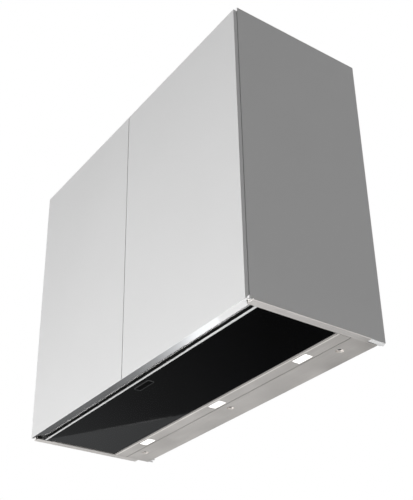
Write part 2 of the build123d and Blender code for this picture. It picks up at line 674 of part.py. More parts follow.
def cover_screws():
    """Pan-head screws that hold the feet of the blower cover."""
    screws = []
    for side in (-1, 1):
        for y in (-130.0, -40.0, 50.0, 140.0):
            x = side * (COVER_HALF + 7)
            head = rod_z(x, y, HOUSING_TOP + SHEET, HOUSING_TOP + SHEET + 2.6, 4.0)
            screws.append(fillet(head.edges().sort_by(Axis.Z)[-1], 1.2))
    return group(screws)


def volute(grow, top):
    """Scroll outline in (y, z): three quarter arcs of growing radius and an upright exit."""
    first = VOLUTE_START + grow
    second = first + VOLUTE_STEP
    third = second + VOLUTE_STEP
    tongue = (EXIT_INNER - grow, VOLUTE_Z + first)
    with BuildSketch(Plane.YZ) as sketch:
        with BuildLine():
            CenterArc((VOLUTE_Y, VOLUTE_Z), first, 90, 90)
            CenterArc((VOLUTE_Y + VOLUTE_STEP, VOLUTE_Z), second, 180, 90)
            CenterArc((VOLUTE_Y + VOLUTE_STEP, VOLUTE_Z + VOLUTE_STEP), third, 270, 90)
            Polyline((EXIT_OUTER + grow, VOLUTE_Z + VOLUTE_STEP), (EXIT_OUTER + grow, top),
                     (EXIT_INNER - grow, top), tongue, (VOLUTE_Y, VOLUTE_Z + first))
        make_face()
    return sketch.sketch


def blower_scroll():
    exit_top = COVER_TOP - SHEET
    half = SCROLL_HALF + SCROLL_WALL
    outside = Pos(-half, 0, 0) * extrude(volute(SCROLL_WALL, exit_top), 2 * half)
    outside += block(-half - 8, half + 8, EXIT_INNER - 10, EXIT_OUTER + 10, exit_top - 3, exit_top)
    inside = Pos(-SCROLL_HALF, 0, 0) * extrude(volute(0, exit_top), 2 * SCROLL_HALF)
    for side in (-1, 1):
        lip = rod_x(side * half, side * (half - 6), FAN_Y, FAN_Z, 59.0)
        outside += lip
        inside += rod_x(side * (half + 1), side * (half - 7), FAN_Y, FAN_Z, 56.0)
    return outside - inside


def impeller():
    """Forward-curved double-inlet wheel on a hub."""
    wheel = rod_x(-1.2, 1.2, FAN_Y, FAN_Z, FAN_R) + rod_x(-14.0, 4.0, FAN_Y, FAN_Z, 11.0)
    for side in (-1, 1):
        ring = rod_x(side * FAN_HALF, side * (FAN_HALF - 3), FAN_Y, FAN_Z, FAN_R)
        wheel += ring - rod_x(side * FAN_HALF, side * (FAN_HALF - 3), FAN_Y, FAN_Z, FAN_R - 9)
    for index in range(FAN_BLADES):
        turn = 360.0 / FAN_BLADES * index
        radius = FAN_R - 5.2
        y = FAN_Y + radius * cos(radians(turn))
        z = FAN_Z + radius * sin(radians(turn))
        wheel += Pos(0, y, z) * Rot(turn + 38, 0, 0) * Box(2 * FAN_HALF - 1, 9.0, 1.0)
    return wheel - rod_x(-14.0, 4.0, FAN_Y, FAN_Z, SHAFT_R)


def motor_shaft():
    return rod_x(-13.0, 62.0, FAN_Y, FAN_Z, SHAFT_R)


def motor_rotor():
    core = rod_x(22.0, 50.0, FAN_Y, FAN_Z, 21.0)
    return core - rod_x(22.0, 50.0, FAN_Y, FAN_Z, SHAFT_R)


def motor_stator():
    core = rod_x(22.0, 50.0, FAN_Y, FAN_Z, MOTOR_R - 2)
    core -= rod_x(22.0, 50.0, FAN_Y, FAN_Z, 21.6)
    for index in range(6):
        turn = radians(60.0 * index + 30.0)
        y = FAN_Y + 28.5 * cos(turn)
        z = FAN_Z + 28.5 * sin(turn)
        core += rod_x(18.5, 53.5, y, z, 5.5)
    return core


def motor_housing():
    """Cup with the front bearing boss."""
    shell = rod_x(9.0, 62.0, FAN_Y, FAN_Z, MOTOR_R) - rod_x(11.0, 62.0, FAN_Y, FAN_Z, MOTOR_R - 2)
    boss = rod_x(9.0, 17.0, FAN_Y, FAN_Z, BEARING_R + 2.5)
    return shell + boss - rod_x(9.0, 17.0, FAN_Y, FAN_Z, BEARING_R)


def motor_end_cap():
    cap = rod_x(62.0, 64.5, FAN_Y, FAN_Z, MOTOR_R)
    boss = rod_x(55.0, 64.5, FAN_Y, FAN_Z, BEARING_R + 2.5)
    return cap + boss - rod_x(55.0, 63.0, FAN_Y, FAN_Z, BEARING_R)


def motor_bearings():
    bearings = []
    for x0 in (10.0, 55.5):
        ring = rod_x(x0, x0 + 6.0, FAN_Y, FAN_Z, BEARING_R)
        bearings.append(ring - rod_x(x0, x0 + 6.0, FAN_Y, FAN_Z, BEARING_BORE))
    return group(bearings)


def motor_bracket():
    """Ring and three arms that carry the motor in the scroll's inlet."""
    x0 = SCROLL_HALF + SCROLL_WALL
    x1 = x0 + 2.0
    bracket = rod_x(x0, x1, FAN_Y, FAN_Z, MOTOR_R + 6)
    for turn in (90.0, 210.0, 330.0):
        arm = Pos((x0 + x1) / 2, FAN_Y, FAN_Z) * Rot(turn, 0, 0) * Pos(0, 59.0, 0) * Box(x1 - x0, 24.0, 14.0)
        bracket += arm
    return bracket - rod_x(x0, x1, FAN_Y, FAN_Z, MOTOR_R)


# ---------------------------------------------------------------- outlet
def outlet_collar():
    """Round spigot with a flange below and the seat of the damper flaps inside."""
    collar = rod_z(0, DUCT_Y, COVER_TOP, COLLAR_TOP, COLLAR_R)
    collar += rod_z(0, DUCT_Y, COVER_TOP, COVER_TOP + 2.0, COLLAR_R + 14)
    collar -= rod_z(0, DUCT_Y, COVER_TOP, COLLAR_TOP, COLLAR_R - COLLAR_WALL)
    seat = rod_z(0, DUCT_Y, FLAP_Z - 3.2, FLAP_Z - 1.0, COLLAR_R - 1)
    seat -= rod_z(0, DUCT_Y, FLAP_Z - 3.2, FLAP_Z - 1.0, COLLAR_R - COLLAR_WALL - 3.5)
    collar += seat
    return collar - rod_y(0, DUCT_Y - COLLAR_R, DUCT_Y + COLLAR_R, FLAP_Z, FLAP_PIN_R)


def damper_pin():
    return rod_y(0, DUCT_Y - COLLAR_R + 0.2, DUCT_Y + COLLAR_R - 0.2, FLAP_Z, FLAP_PIN_R)


def damper_flap(side, knuckles):
    """Half-round flap that turns up about the shared pin; knuckles are (start, end) along the pin."""
    disc = rod_z(0, DUCT_Y, FLAP_Z - 0.6, FLAP_Z + 0.6, FLAP_R)
    near = FLAP_KNUCKLE_R + 0.4
    flap = disc & block(side * near, side * FLAP_R, DUCT_Y - FLAP_R, DUCT_Y + FLAP_R, FLAP_Z - 1, FLAP_Z + 1)
    for start, end in knuckles:
        y0 = DUCT_Y + start
        y1 = DUCT_Y + end
        flap += block(side * 1.6, side * (near + 1), y0, y1, FLAP_Z - 0.6, FLAP_Z + 0.6)
        flap += rod_y(0, y0, y1, FLAP_Z, FLAP_KNUCKLE_R)
        flap -= rod_y(0, y0, y1, FLAP_Z, FLAP_PIN_R + 0.05)
    return flap


def duct_pipe():
    """Riser from the collar to the outlet in the top panel."""
    pipe = rod_z(0, DUCT_Y, DUCT_BOTTOM, CARCASS_TOP, DUCT_R)
    return pipe - rod_z(0, DUCT_Y, DUCT_BOTTOM, CARCASS_TOP, DUCT_R - DUCT_WALL)


def duct_clamp():
    """Band clamp with its screw lug at the front."""
    band = rod_z(0, DUCT_Y, 374.0, 386.0, DUCT_R + 1.0)
    lug = block(-9.0, 9.0, DUCT_Y - DUCT_R - 9.0, DUCT_Y - DUCT_R + 2.0, 374.0, 386.0)
    screw = rod_x(-13.0, 13.0, DUCT_Y - DUCT_R - 5.0, 380.0, 3.0)
    return band + lug + screw - rod_z(0, DUCT_Y, 374.0, 386.0, DUCT_R)


def duct_outlet():
    """Flanged spigot on the top panel, where the house's duct is pushed on."""
    spigot = rod_z(0, DUCT_Y, CARCASS_TOP, CARCASS_TOP + DUCT_ABOVE, DUCT_R)
    spigot += rod_z(0, DUCT_Y, CARCASS_TOP, CARCASS_TOP + OUTLET_FLANGE, DUCT_R + 20.0)
    return spigot - rod_z(0, DUCT_Y, CARCASS_TOP, CARCASS_TOP + DUCT_ABOVE, DUCT_R - DUCT_WALL)


# ---------------------------------------------------------------- electrics
def control_box():
    """Tray of the power board, on top of the housing at the right."""
    box = block(215.0, 355.0, -70.0, 50.0, HOUSING_TOP, HOUSING_TOP + 42.0)
    return box - block(217.0, 353.0, -68.0, 48.0, HOUSING_TOP + 2, HOUSING_TOP + 42.0)


def control_box_lid():
    base = HOUSING_TOP + 42.0
    lid = block(213.0, 357.0, -72.0, 52.0, base, base + 2.0)
    lid = fillet(lid.edges().filter_by(Axis.Z), 3.0)
    return lid


def power_board():
    """Printed board with its transformer, relays and terminal row."""
    base = HOUSING_TOP + 6.0
    board = block(221.0, 349.0, -64.0, 44.0, base, base + 1.6)
    board += block(228.0, 262.0, -56.0, -24.0, base + 1.6, base + 28.0)
    for index in range(3):
        x = 276.0 + index * 22.0
        board += block(x, x + 16.0, -56.0, -36.0, base + 1.6, base + 17.0)
    board += block(232.0, 338.0, 28.0, 42.0, base + 1.6, base + 13.0)
    board += rod_z(240.0, 0.0, base + 1.6, base + 24.0, 8.0)
    for x in (224.0, 346.0):
        for y in (-61.0, 41.0):
            board += rod_z(x, y, HOUSING_TOP + 2, base, 2.5)
    return board


def led_driver():
    """Sealed supply of the lamps, on top of the housing at the left."""
    driver = block(-330.0, -210.0, 60.0, 104.0, HOUSING_TOP, HOUSING_TOP + 26.0)
    driver = fillet(driver.edges().filter_by(Axis.Z), 4.0)
    driver += block(-340.0, -330.0, 74.0, 90.0, HOUSING_TOP, HOUSING_TOP + 4.0)
    return driver + block(-210.0, -200.0, 74.0, 90.0, HOUSING_TOP, HOUSING_TOP + 4.0)


def cable_grommet():
    """Rubber inlet for the supply cable in the top panel."""
    low = TOP_UNDERSIDE - 2.5
    high = CARCASS_TOP + 2.5
    ring = rod_z(CABLE_X, CABLE_Y, TOP_UNDERSIDE, CARCASS_TOP, CABLE_HOLE_R)
    ring += rod_z(CABLE_X, CABLE_Y, low, TOP_UNDERSIDE, CABLE_HOLE_R + 3.5)
    ring += rod_z(CABLE_X, CABLE_Y, CARCASS_TOP, high, CABLE_HOLE_R + 3.5)
    return ring - rod_z(CABLE_X, CABLE_Y, low, high, CABLE_BORE_R)


# ---------------------------------------------------------------- all nodes
def nodes():
    parts = {
        "top_panel": top_panel(),
        "back_panel": back_panel(),
        "hanger_bars": hanger_bars(),
        "corner_blocks": corner_blocks(),
        "pivot_brackets": pairs(lower_pivot_bracket(), upper_pivot_bracket()),
        "pivot_pins": pairs(lower_pivot_pin(), upper_pivot_pin()),
        "door_magnets": pairs(door_magnet()),
        "front_profile": front_profile(),
        "side_rails": pairs(side_rail()),
        "side_gaskets": pairs(side_gasket()),
        "rear_plate": rear_plate(),
        "rear_plate_screws": rear_plate_screws(),
        "light_bar": light_bar(),
        "led_lenses": led_lenses(),
        "led_modules": led_modules(),
        "glass_panel": glass_panel(),
        "panel_trim": panel_trim(),
        "panel_tray": panel_tray(),
        "panel_hinge_pins": panel_hinge_pins(),
        "panel_hinge_brackets": pairs(panel_hinge_bracket()),
        "panel_magnets": panel_magnets(),
        "control_bezel": control_bezel(),
        "control_button": control_button(),
        "control_module": control_module(),
        "hood_housing": hood_housing(),
        "housing_screws": housing_screws(),
        "filter_seat": filter_seat(),
        "filter_frames": pairs(filter_frame()),
        "filter_meshes": pairs(filter_mesh()),
        "blower_cover": blower_cover(),
        "cover_screws": cover_screws(),
        "blower_scroll": blower_scroll(),
        "impeller": impeller(),
        "motor_shaft": motor_shaft(),
        "motor_rotor": motor_rotor(),
        "motor_stator": motor_stator(),
        "motor_housing": motor_housing(),
        "motor_end_cap": motor_end_cap(),
        "motor_bearings": motor_bearings(),
        "motor_bracket": motor_bracket(),
        "outlet_collar": outlet_collar(),
        "damper_pin": damper_pin(),
        "left_damper_flap": damper_flap(-1, [(-60.0, -30.0), (2.0, 30.0)]),
        "right_damper_flap": damper_flap(1, [(-29.0, 1.0), (31.0, 60.0)]),
        "duct_pipe": duct_pipe(),
        "duct_clamp": duct_clamp(),
        "duct_outlet": duct_outlet(),
        "control_box": control_box(),
        "control_box_lid": control_box_lid(),
        "power_board": power_board(),
        "led_driver": led_driver(),
        "cable_grommet": cable_grommet(),
    }
    parts.update(sided("side_panel", side_panel()))
    parts.update(sided("door", door()))
    parts.update(sided("door_fittings", *door_fittings()))
    parts.update(sided("filter_latch", filter_latch()))
    return parts


os.makedirs("parts", exist_ok=True)
for name, shape in nodes().items():
    export_step(shape, os.path.join("parts", f"{name}.step"))
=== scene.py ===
import json
import math

import bmesh
import bpy
from mathutils import Matrix, Vector


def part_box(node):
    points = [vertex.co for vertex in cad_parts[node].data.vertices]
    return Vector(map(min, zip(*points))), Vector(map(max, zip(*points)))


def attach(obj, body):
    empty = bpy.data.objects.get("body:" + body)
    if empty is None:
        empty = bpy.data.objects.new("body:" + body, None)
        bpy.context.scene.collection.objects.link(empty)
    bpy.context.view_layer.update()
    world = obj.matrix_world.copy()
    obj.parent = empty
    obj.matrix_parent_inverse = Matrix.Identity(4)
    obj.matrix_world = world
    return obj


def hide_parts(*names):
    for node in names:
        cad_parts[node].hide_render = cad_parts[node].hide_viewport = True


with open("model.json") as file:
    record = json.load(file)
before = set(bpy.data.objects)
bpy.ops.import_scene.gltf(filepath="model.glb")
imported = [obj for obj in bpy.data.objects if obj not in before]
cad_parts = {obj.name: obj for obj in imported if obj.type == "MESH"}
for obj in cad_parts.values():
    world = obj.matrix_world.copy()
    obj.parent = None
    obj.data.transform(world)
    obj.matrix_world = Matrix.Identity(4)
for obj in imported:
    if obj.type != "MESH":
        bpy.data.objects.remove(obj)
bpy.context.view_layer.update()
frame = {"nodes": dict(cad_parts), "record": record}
NODES = frame["nodes"]

QUARTER_TURN = math.pi / 2
WELD_DISTANCE = 1e-6
ON_AXIS = 1e-7
SIDES = ((-1, "left"), (1, "right"))
# the colour sockets of a Mix node, by index because its other kinds have sockets of the same names
MIX_A, MIX_B, MIX_RESULT = 6, 7, 2


# ---------------------------------------------------------------- small helpers
def join(tree, source, target):
    tree.links.new(source, target)


def add(tree, kind, inputs=None, **settings):
    """A new node with its plain settings; each input takes a value or another node's output."""
    node = tree.nodes.new(kind)
    for key, value in settings.items():
        setattr(node, key, value)
    for key, source in (inputs or {}).items():
        if isinstance(source, bpy.types.NodeSocket):
            join(tree, source, node.inputs[key])
        else:
            node.inputs[key].default_value = source
    return node


def node_group(name, kind, inputs, outputs):
    """A node group with its named sockets: the tree, what it is given and what it gives out."""
    tree = bpy.data.node_groups.new(name, kind)
    for side, sockets in (("INPUT", inputs), ("OUTPUT", outputs)):
        for title, value_kind in sockets.items():
            tree.interface.new_socket(name=title, in_out=side,
                                      socket_type="NodeSocket" + value_kind)
    return tree, add(tree, "NodeGroupInput").outputs, add(tree, "NodeGroupOutput").inputs


def new_material(name):
    """A material with its node tree and the tree's main shader."""
    made = bpy.data.materials.new(name)
    made.use_nodes = True
    return made, made.node_tree, made.node_tree.nodes["Principled BSDF"]


def bare_material(name):
    """A material whose node tree has only an output."""
    made, tree, _ = new_material(name)
    tree.nodes.clear()
    return made, tree, add(tree, "ShaderNodeOutputMaterial").inputs["Surface"]


def link_object(name, data):
    made = bpy.data.objects.new(name, data)
    bpy.context.scene.collection.objects.link(made)
    return made


def grey(value, warm=0.0):
    """A linear colour, a little warmer or colder than neutral."""
    return (value * (1 + warm), value, value * (1 - warm), 1.0)


def colour_ramp(tree, level, stops):
    """The colour of a ramp through stops of (position, colour), at a level from 0 to 1."""
    ramp = add(tree, "ShaderNodeValToRGB", {"Fac": level})
    elements = ramp.color_ramp.elements
    for element, (position, colour) in zip(elements, (stops[0], stops[-1])):
        element.position = position
        element.color = colour
    for position, colour in stops[1:-1]:
        elements.new(position).color = colour
    return ramp.outputs["Color"]


# ---------------------------------------------------------------- effects shared by materials
def surface_group(name, frequencies):
    """A group for one kind of finish: two colours, gloss range, relief and its own frequencies."""
    inputs = {"Colour Low": "Color", "Colour High": "Color", "Smooth": "Float", "Rough": "Float",
              "Relief": "Float", **frequencies}
    outputs = {"Color": "Color", "Roughness": "Float", "Normal": "Vector"}
    tree, given, out = node_group(name, "ShaderNodeTree", inputs, outputs)
    return tree, given, out, add(tree, "ShaderNodeTexCoord").outputs["Object"]


def finish_surface(tree, given, out, shade, gloss, height, gloss_range=(0.0, 1.0)):
    """What every finish ends with: colour by one level, roughness by another, relief by a third."""
    tint = add(tree, "ShaderNodeMix", {"Factor": shade, MIX_A: given["Colour Low"],
                                       MIX_B: given["Colour High"]}, data_type="RGBA")
    uneven = add(tree, "ShaderNodeMapRange", {"Value": gloss, "From Min": gloss_range[0],
                                              "From Max": gloss_range[1], "To Min": given["Smooth"],
                                              "To Max": given["Rough"]})
    bump = add(tree, "ShaderNodeBump", {"Distance": given["Relief"], "Height": height})
    join(tree, tint.outputs[MIX_RESULT], out["Color"])
    join(tree, uneven.outputs["Result"], out["Roughness"])
    join(tree, bump.outputs["Normal"], out["Normal"])
    return tree


def noise(tree, place, scale, detail):
    inputs = {"Vector": place, "Scale": scale, "Detail": detail}
    return add(tree, "ShaderNodeTexNoise", inputs).outputs["Fac"]


def spread(tree, level, low, high):
    """Stretches a part of a level's range to run from 0 to 1."""
    inputs = {"Value": level, "From Min": low, "From Max": high}
    return add(tree, "ShaderNodeMapRange", inputs).outputs["Result"]


def brushed_lines_group():
    """Fine parallel lines of a brushed or rolled metal, with slow cloudy changes over them."""
    line_share, cloud_share = 0.6, 0.4
    tree, given, out, place = surface_group(
        "brushed_lines", {"Line Frequency": "Vector", "Cloud Frequency": "Float"})
    stretch = add(tree, "ShaderNodeVectorMath", {0: place, 1: given["Line Frequency"]},
                  operation="MULTIPLY")
    lines = noise(tree, stretch.outputs["Vector"], 1.0, detail=3.0)
    cloud = noise(tree, place, given["Cloud Frequency"], detail=4.0)
    clouded = add(tree, "ShaderNodeMath", {0: cloud, 1: cloud_share}, operation="MULTIPLY")
    both = add(tree, "ShaderNodeMath", {0: lines, 1: line_share, 2: clouded.outputs["Value"]},
               operation="MULTIPLY_ADD")
    level = spread(tree, both.outputs["Value"], low=0.36, high=0.64)
    return finish_surface(tree, given, out, level, level, lines)


def even_coat_group():
    """A lacquer, powder or moulded skin: slow shade changes, fine grain and uneven gloss."""
    tree, given, out, place = surface_group(
        "even_coat", {"Patch Frequency": "Float", "Grain Frequency": "Float"})
    patch = noise(tree, place, given["Patch Frequency"], detail=5.0)
    grain = noise(tree, place, given["Grain Frequency"], detail=2.0)
    blend = add(tree, "ShaderNodeMath", {0: grain, 1: patch}, operation="MULTIPLY")
    shade = spread(tree, patch, low=0.35, high=0.65)
    return finish_surface(tree, given, out, shade, blend.outputs["Value"], grain,
                          gloss_range=(0.1, 0.4))


def spangle_group():
    """Zinc flowers of hot-dipped sheet: crystal patches of slightly different brightness."""
    ripple_scale, ripple_reach = 45.0, 0.012
    tree, given, out, place = surface_group("zinc_spangle", {"Crystal Frequency": "Float"})
    ripple = add(tree, "ShaderNodeTexNoise", {"Vector": place, "Scale": ripple_scale})
    bend = add(tree, "ShaderNodeVectorMath", {0: ripple.outputs["Color"], 1: (ripple_reach,) * 3,
                                              2: place}, operation="MULTIPLY_ADD")
    crystal = add(tree, "ShaderNodeTexVoronoi", {"Vector": bend.outputs["Vector"],
                                                 "Scale": given["Crystal Frequency"]})
    level = add(tree, "ShaderNodeSeparateColor", {"Color": crystal.outputs["Color"]}).outputs
    return finish_surface(tree, given, out, level["Red"], level["Green"], level["Blue"])


BRUSHED = brushed_lines_group()
COAT = even_coat_group()
SPANGLE = spangle_group()


# ---------------------------------------------------------------- materials
LOOKS = {}


def finish_material(name, group, main, values, **plain):
    """A look whose colour, roughness and normal come from one group, with plain shader values."""
    made, tree, shader = new_material(name)
    effect = add(tree, "ShaderNodeGroup", node_tree=group)
    for key, value in values.items():
        effect.inputs[key].default_value = value
    for output, target in (("Color", "Base Color"), ("Roughness", "Roughness"),
                           ("Normal", "Normal")):
        join(tree, effect.outputs[output], shader.inputs[target])
    for key, value in plain.items():
        shader.inputs[key.replace("_", " ")].default_value = value
    made.diffuse_color = main
    LOOKS[name] = made


def coat(name, main, second, patch, grain, relief, smooth, rough, **plain):
    finish_material(name, COAT, main, {
        "Colour Low": main, "Colour High": second, "Patch Frequency": patch,
        "Grain Frequency": grain, "Relief": relief, "Smooth": smooth, "Rough": rough}, **plain)


def brushed(name, lines, light, dark, smooth, rough, relief, **plain):
    finish_material(name, BRUSHED, light, {
        "Colour Low": dark, "Colour High": light, "Line Frequency": lines, "Cloud Frequency": 9.0,
        "Relief": relief, "Smooth": smooth, "Rough": rough}, **plain)


def spangled(name, light, dark, size, smooth, rough, relief, **plain):
    finish_material(name, SPANGLE, light, {
        "Colour Low": dark, "Colour High": light, "Crystal Frequency": size,
        "Relief": relief, "Smooth": smooth, "Rough": rough}, **plain)


STEEL_GREY = 0.70
METAL = {"Metallic": 1.0}
DULL = {"Specular_IOR_Level": 0.10}

# name, main and second colour, patch and grain frequency, relief, smooth and rough
coat("door_lacquer", grey(0.800), grey(0.785), 3.0, 260.0, 0.00002, 0.38, 0.46)
coat("side_lacquer", grey(0.780), grey(0.765), 3.0, 260.0, 0.00002, 0.40, 0.48)
coat("carcass_white", grey(0.84), grey(0.81), 6.0, 900.0, 0.00004, 0.42, 0.56)
coat("zinc_steel", grey(0.62, -0.02), grey(0.52, 0.01), 60.0, 700.0, 0.00003, 0.28, 0.44, **METAL)
coat("aluminium_cast", grey(0.60), grey(0.50), 40.0, 520.0, 0.00012, 0.42, 0.62, **METAL)
coat("black_glass", (0.0010, 0.0010, 0.0013, 1.0), (0.0007, 0.0007, 0.0008, 1.0), 4.0, 60.0,
     0.0, 0.010, 0.04, IOR=1.5)
coat("black_steel", grey(0.030), grey(0.022), 9.0, 900.0, 0.00008, 0.40, 0.60)
coat("black_plastic", grey(0.030), grey(0.024), 12.0, 1100.0, 0.00006, 0.42, 0.62)
coat("button_black", grey(0.0012), grey(0.0008), 20.0, 80.0, 0.0, 0.05, 0.09, **DULL)
coat("grey_plastic", grey(0.52, -0.01), grey(0.47, -0.01), 10.0, 900.0, 0.00007, 0.44, 0.64)
coat("rubber", grey(0.036), grey(0.028), 25.0, 600.0, 0.00010, 0.62, 0.82)
coat("circuit_board", (0.035, 0.20, 0.09, 1.0), (0.05, 0.29, 0.13, 1.0), 140.0, 600.0,
     0.00004, 0.30, 0.50)
coat("magnet_ceramic", grey(0.10, -0.02), grey(0.075, -0.02), 60.0, 800.0, 0.00006, 0.48, 0.66)
coat("foam_seal", grey(0.009), grey(0.006), 200.0, 1500.0, 0.0003, 0.85, 0.95, **DULL)
coat("grey_felt", grey(0.14), grey(0.12), 200.0, 1500.0, 0.0002, 0.85, 0.95, **DULL)

# name, line frequency along each axis, light and dark colour, smooth and rough, relief
brushed("brushed_steel", (7.0, 900.0, 900.0), grey(STEEL_GREY, 0.035), grey(0.60, 0.04),
        0.40, 0.56, 0.00002, **METAL)
# the rails' brushed steel is grained along Y, and its colours are painted lighter than
# brushed_steel: a painted sheen
brushed("brushed_steel_deep_painted_sheen", (900.0, 7.0, 900.0), grey(0.76, 0.03), grey(0.66, 0.04),
        0.40, 0.56, 0.00002, **METAL)
brushed("polished_steel", (3.0, 500.0, 500.0), grey(0.94), grey(0.90),
        0.035, 0.07, 0.000004, **METAL)
brushed("trim_aluminium", (5.0, 1200.0, 1200.0), grey(0.85), grey(0.77),
        0.26, 0.38, 0.00001, Metallic=0.45)
brushed("filter_aluminium", (20.0, 500.0, 500.0), grey(0.74, -0.01), grey(0.62, -0.01),
        0.34, 0.50, 0.00003, **METAL)
brushed("bezel_grey", (20.0, 900.0, 900.0), grey(0.66), grey(0.54), 0.03, 0.07, 0.00001, **METAL)
brushed("brass", (300.0, 300.0, 700.0), (0.72, 0.53, 0.25, 1.0), (0.58, 0.41, 0.18, 1.0),
        0.26, 0.42, 0.00003, **METAL)
brushed("cast_iron", (1700.0, 5.0, 5.0), grey(0.34), grey(0.16), 0.40, 0.62, 0.00008, **METAL)

# name, light and dark colour, crystal frequency, smooth and rough, relief
spangled("galvanised_steel", grey(0.62, -0.01), grey(0.47, -0.01), 75.0, 0.34, 0.52, 0.00006,
         **METAL)


def lamp_lens_material():
    """Frosted cover of a lit lamp, with the rows of diodes showing faintly through it."""
    made, tree, shader = new_material("lamp_lens")
    place = add(tree, "ShaderNodeTexCoord").outputs["Object"]
    cells = add(tree, "ShaderNodeTexVoronoi", {"Vector": place, "Scale": 140.0, "Randomness": 0.0},
                voronoi_dimensions="2D")
    colour = colour_ramp(tree, cells.outputs["Distance"], (
        (0.15, (1.0, 0.985, 0.95, 1.0)), (0.75, (0.93, 0.92, 0.90, 1.0))))
    join(tree, colour, shader.inputs["Emission Color"])
    join(tree, colour, shader.inputs["Base Color"])
    shader.inputs["Emission Strength"].default_value = 1.1
    shader.inputs["Roughness"].default_value = 0.45
    LOOKS["lamp_lens"] = made


def bar_painted_light_material():
    """The lamp bar's brushed steel, with painted shade on its bevel, a painted highlight along the
    fold, and darker along its rear edge.
    """
    painted_bevel_shade, painted_fold_highlight, rear = grey(0.40), grey(1.00), grey(0.42)
    flat = grey(STEEL_GREY)
    made = LOOKS["brushed_steel"].copy()
    made.name = "burnished_bar"
    tree = made.node_tree
    base = tree.nodes["Principled BSDF"].inputs["Base Color"]
    steel = base.links[0].from_socket
    low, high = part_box("light_bar")
    depth = high.y - low.y
    place = add(tree, "ShaderNodeTexCoord").outputs["Object"]
    along = add(tree, "ShaderNodeSeparateXYZ", {"Vector": place}).outputs["Y"]
    # painted shade on the bevel and a painted highlight along the fold; the rear edge is darker too
    bands = ((0.0032, painted_bevel_shade), (0.0040, painted_fold_highlight), (0.0076, painted_fold_highlight), (0.0084, flat), (0.0352, flat),
             (0.0360, rear))
    inner = tuple((from_front / depth, colour) for from_front, colour in bands)
    stops = ((0.0, painted_bevel_shade), *inner, (1.0, rear))
    wanted = colour_ramp(tree, spread(tree, along, low.y, high.y), stops)
    lines = add(tree, "ShaderNodeMix", {"Factor": 1.0, MIX_A: steel, MIX_B: flat},
                data_type="RGBA", blend_type="DIVIDE").outputs[MIX_RESULT]
    tint = add(tree, "ShaderNodeMix", {"Factor": 1.0, MIX_A: wanted, MIX_B: lines},
               data_type="RGBA", blend_type="MULTIPLY")
    join(tree, tint.outputs[MIX_RESULT], base)
    LOOKS["burnished_bar"] = made


lamp_lens_material()
bar_painted_light_material()

# each node wears the look of its slot in the record, apart from these three
SLOT_OF = {part["node"]: part["material_slot"] for part in frame["record"]["subparts"]}
OWN_LOOK = {"side_rails": "brushed_steel_deep_painted_sheen", "pivot_brackets": "polished_steel",
            "light_bar": "burnished_bar"}

for node_name, node_object in NODES.items():
    look = LOOKS[OWN_LOOK.get(node_name, SLOT_OF[node_name])]
    if not node_object.data.materials:
        node_object.data.materials.append(look)
    for index in range(len(node_object.data.materials)):
        node_object.data.materials[index] = look


# ---------------------------------------------------------------- meshes of small pieces
def mesh_from(name, points, faces, smooth=False):
    mesh = bpy.data.meshes.new(name)
    mesh.from_pydata([tuple(p) for p in points], [], faces)
    shape = bmesh.new()
    shape.from_mesh(mesh)
    bmesh.ops.remove_doubles(shape, verts=shape.verts, dist=WELD_DISTANCE)
    bmesh.ops.recalc_face_normals(shape, faces=shape.faces)
    shape.to_mesh(mesh)
    shape.free()
    for polygon in mesh.polygons:
        polygon.use_smooth = smooth
    return mesh


def turned(name, outline, segments=16):
    """A closed body turned about Z; its outline runs from the bottom of the axis to the top."""
    points, faces, rings = [], [], []
    for radius, height in outline:
        if radius < ON_AXIS:
            rings.append([len(points)])
            points.append((0.0, 0.0, height))
        else:
            rings.append(list(range(len(points), len(points) + segments)))
            for step in range(segments):
                angle = 2 * math.pi * step / segments
                points.append((radius * math.cos(angle), radius * math.sin(angle), height))
    for low, high in zip(rings, rings[1:]):
        for step in range(segments):
            after = (step + 1) % segments
            corners = [low[step % len(low)], low[after % len(low)],
                       high[after % len(high)], high[step % len(high)]]
            faces.append([c for i, c in enumerate(corners) if c not in corners[:i]])
    return mesh_from(name, points, [f for f in faces if len(f) > 2], smooth=True)


def put(name, mesh, body, look=None):
    """Links a finished mesh as a piece that rides on a body."""
    made = link_object(name, mesh)
    if look is not None:
        mesh.materials.clear()
        mesh.materials.append(LOOKS[look])
    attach(made, body)
    return made


# ---------------------------------------------------------------- repeated pieces
def growth_group(name, inputs):
    """A geometry group; its own inputs stand between the carrier's geometry and the material."""
    inputs = {"Geometry": "Geometry", **inputs, "Material": "Material"}
    return node_group(name, "GeometryNodeTree", inputs, {"Geometry": "Geometry"})


def finish_growth(tree, given, out, geometry):
    """Turns what has grown into plain mesh with the given material."""
    real = add(tree, "GeometryNodeRealizeInstances", {"Geometry": geometry})
    skin = add(tree, "GeometryNodeSetMaterial", {"Geometry": real.outputs["Geometry"],
                                                 "Material": given["Material"]})
    join(tree, skin.outputs["Geometry"], out["Geometry"])
    return tree


def moved(tree, geometry, place):
    made = add(tree, "GeometryNodeTransform", {"Geometry": geometry, "Translation": place})
    return made.outputs["Geometry"]


def repeat_tree():
    """Sets a small unit on every point of the carrier, turned alike."""
    tree, given, out = growth_group("units_on_points", {"Unit": "Object", "Turn": "Vector"})
    unit = add(tree, "GeometryNodeObjectInfo", {"Object": given["Unit"]})
    angle = add(tree, "FunctionNodeEulerToRotation", {"Euler": given["Turn"]})
    spots = add(tree, "GeometryNodeInstanceOnPoints", {
        "Points": given["Geometry"], "Instance": unit.outputs["Geometry"],
        "Rotation": angle.outputs["Rotation"]})
    return finish_growth(tree, given, out, spots.outputs["Instances"])


